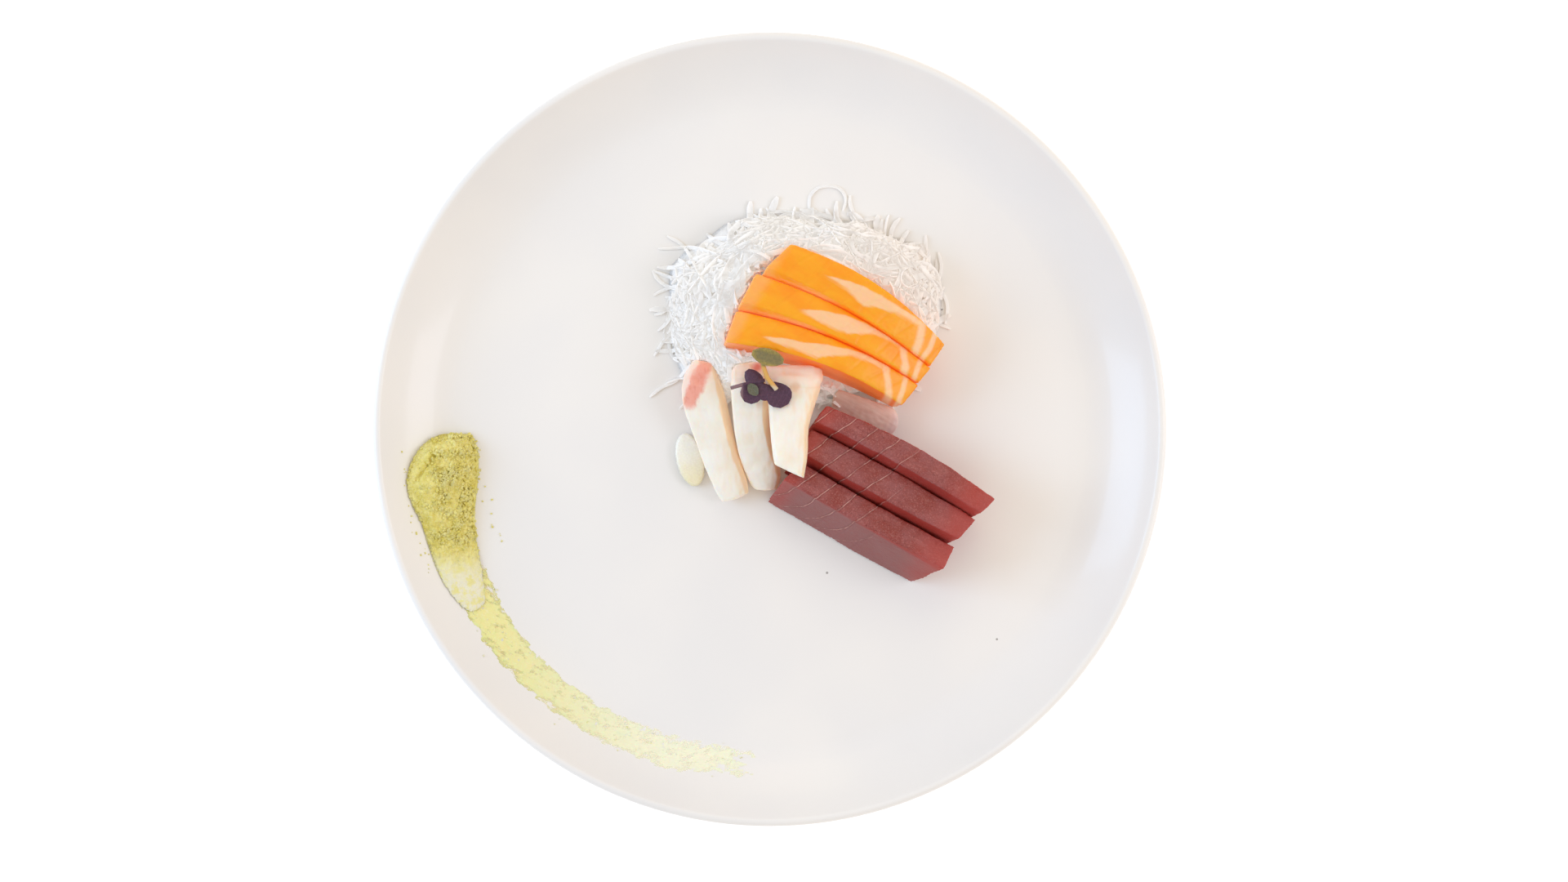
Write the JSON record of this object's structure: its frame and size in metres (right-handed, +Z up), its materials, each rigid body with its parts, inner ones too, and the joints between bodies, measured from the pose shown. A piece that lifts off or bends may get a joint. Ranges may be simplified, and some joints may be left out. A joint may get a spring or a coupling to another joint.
{
  "type": "sashimi plate",
  "caption": "Round white coupe plate of sliced raw salmon, tuna and white fish round a heap of shredded daikon, with sprouts and a dragged smear of wasabi.",
  "frame": {"origin": "centre of the plate, at the level of the foot ring's resting face", "axes": "+Z up out of the plate; +X to the diner's right; +Y away from the diner, so that the wasabi is on the left"},
  "size_m": [0.27, 0.27, 0.0363],
  "materials": {
    "porcelain": "glossy warm white glaze",
    "salmon": "moist orange flesh with pale fat bands",
    "tuna": "moist dark red flesh with thin sinews",
    "white_fish": "moist ivory flesh",
    "daikon": "wet translucent white",
    "cucumber": "wet pale green",
    "purple_leaf": "dark purple leaf",
    "green_leaf": "dark green leaf",
    "wasabi": "coarse damp paste"
  },
  "bodies": {
    "root": {"plate": "porcelain", "daikon_nest": "daikon", "daikon_ribbon": "daikon", "salmon_slice_1": "salmon", "salmon_slice_2": "salmon", "salmon_slice_3": "salmon", "tuna_slice_1": "tuna", "tuna_slice_2": "tuna", "tuna_slice_3": "tuna", "white_fish_slice_1": "white_fish", "white_fish_slice_2": "white_fish", "white_fish_slice_3": "white_fish", "cucumber_slice": "cucumber", "green_sprout": "green_leaf", "purple_sprout": "purple_leaf", "wasabi": "wasabi"}
  },
  "joints": []
}
